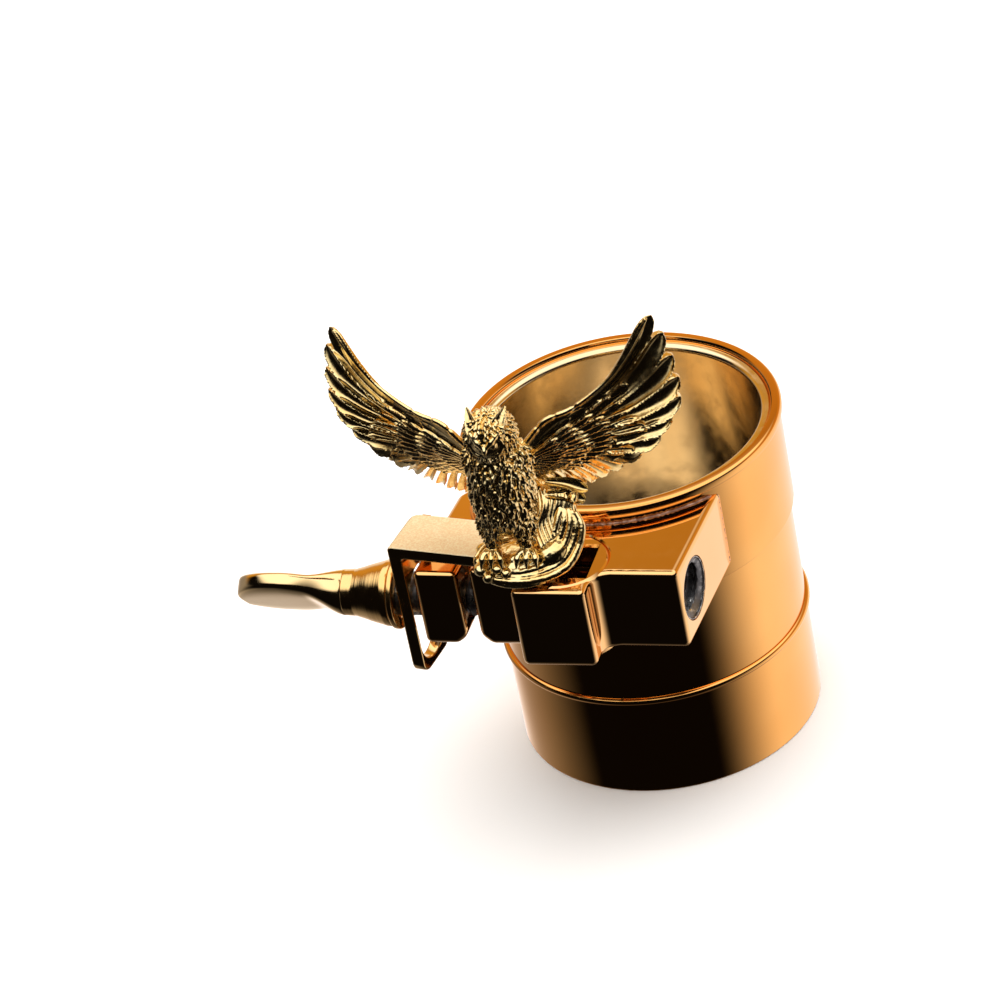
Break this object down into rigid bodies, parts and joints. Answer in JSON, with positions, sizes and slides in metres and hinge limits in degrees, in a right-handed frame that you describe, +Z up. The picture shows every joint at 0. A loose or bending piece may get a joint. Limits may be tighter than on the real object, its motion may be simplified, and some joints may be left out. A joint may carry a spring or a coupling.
{
  "type": "saxophone neck receiver clamp",
  "caption": "Split clamp collar for a saxophone neck tenon, with a paddle thumbscrew, lyre socket and a slotted bracket that carries a winged owl ornament.",
  "frame": {"origin": "on the tube axis at the receiver's foot, where it is soldered to the body tube", "axes": "+Z up the tube towards the neck, +X along the clamp screw away from its paddle, -Y towards the side the lugs and the owl face"},
  "size_m": [0.0449, 0.038, 0.051],
  "materials": {
    "tube_lacquer": "mirror polished, orange-gold lacquer",
    "lug_lacquer": "polished, orange-gold lacquer",
    "gold_plate": "cast and gold plated, bright ridges",
    "sanded_gold": "sandblasted top, polished edges",
    "dark_steel": "blackened thread"
  },
  "bodies": {
    "receiver": {"neck_socket_sleeve": "tube_lacquer", "clamp_collar": "tube_lacquer", "upper_skirt": "tube_lacquer", "bead_ring": "tube_lacquer", "lower_skirt": "tube_lacquer", "left_lug": "lug_lacquer", "lyre_block": "lug_lacquer", "lyre_socket_bush": "lug_lacquer", "neck_screw_insert": "dark_steel", "lyre_screw_insert": "dark_steel"},
    "washer": {"shoulder_washer": "lug_lacquer"},
    "thumbscrew": {"thumbscrew_shank": "dark_steel", "thumbscrew_barrel": "lug_lacquer", "thumbscrew_paddle": "lug_lacquer"},
    "ornament": {"ornament_bracket": "sanded_gold", "ornament_screw": "dark_steel", "rock_base": "gold_plate", "owl_torso": "gold_plate", "owl_head": "gold_plate", "left_foot": "gold_plate", "right_foot": "gold_plate", "owl_tail": "gold_plate", "left_wing": "gold_plate", "right_wing": "gold_plate"}
  },
  "joints": [
    {"name": "screw_travel", "type": "slide", "parent": "receiver", "child": "washer", "axis": [-1, 0, 0], "range_m": [0, 0.00336]},
    {"name": "thumbscrew_turn", "type": "hinge", "parent": "washer", "child": "thumbscrew", "pos_m": [-0.0169, -0.0176, 0.0242], "axis": [-1, 0, 0], "range_deg": [0, 1728]},
    {"name": "bracket_lift", "type": "slide", "parent": "receiver", "child": "ornament", "axis": [0, 0, 1], "range_m": [0, 0.0042]}
  ]
}
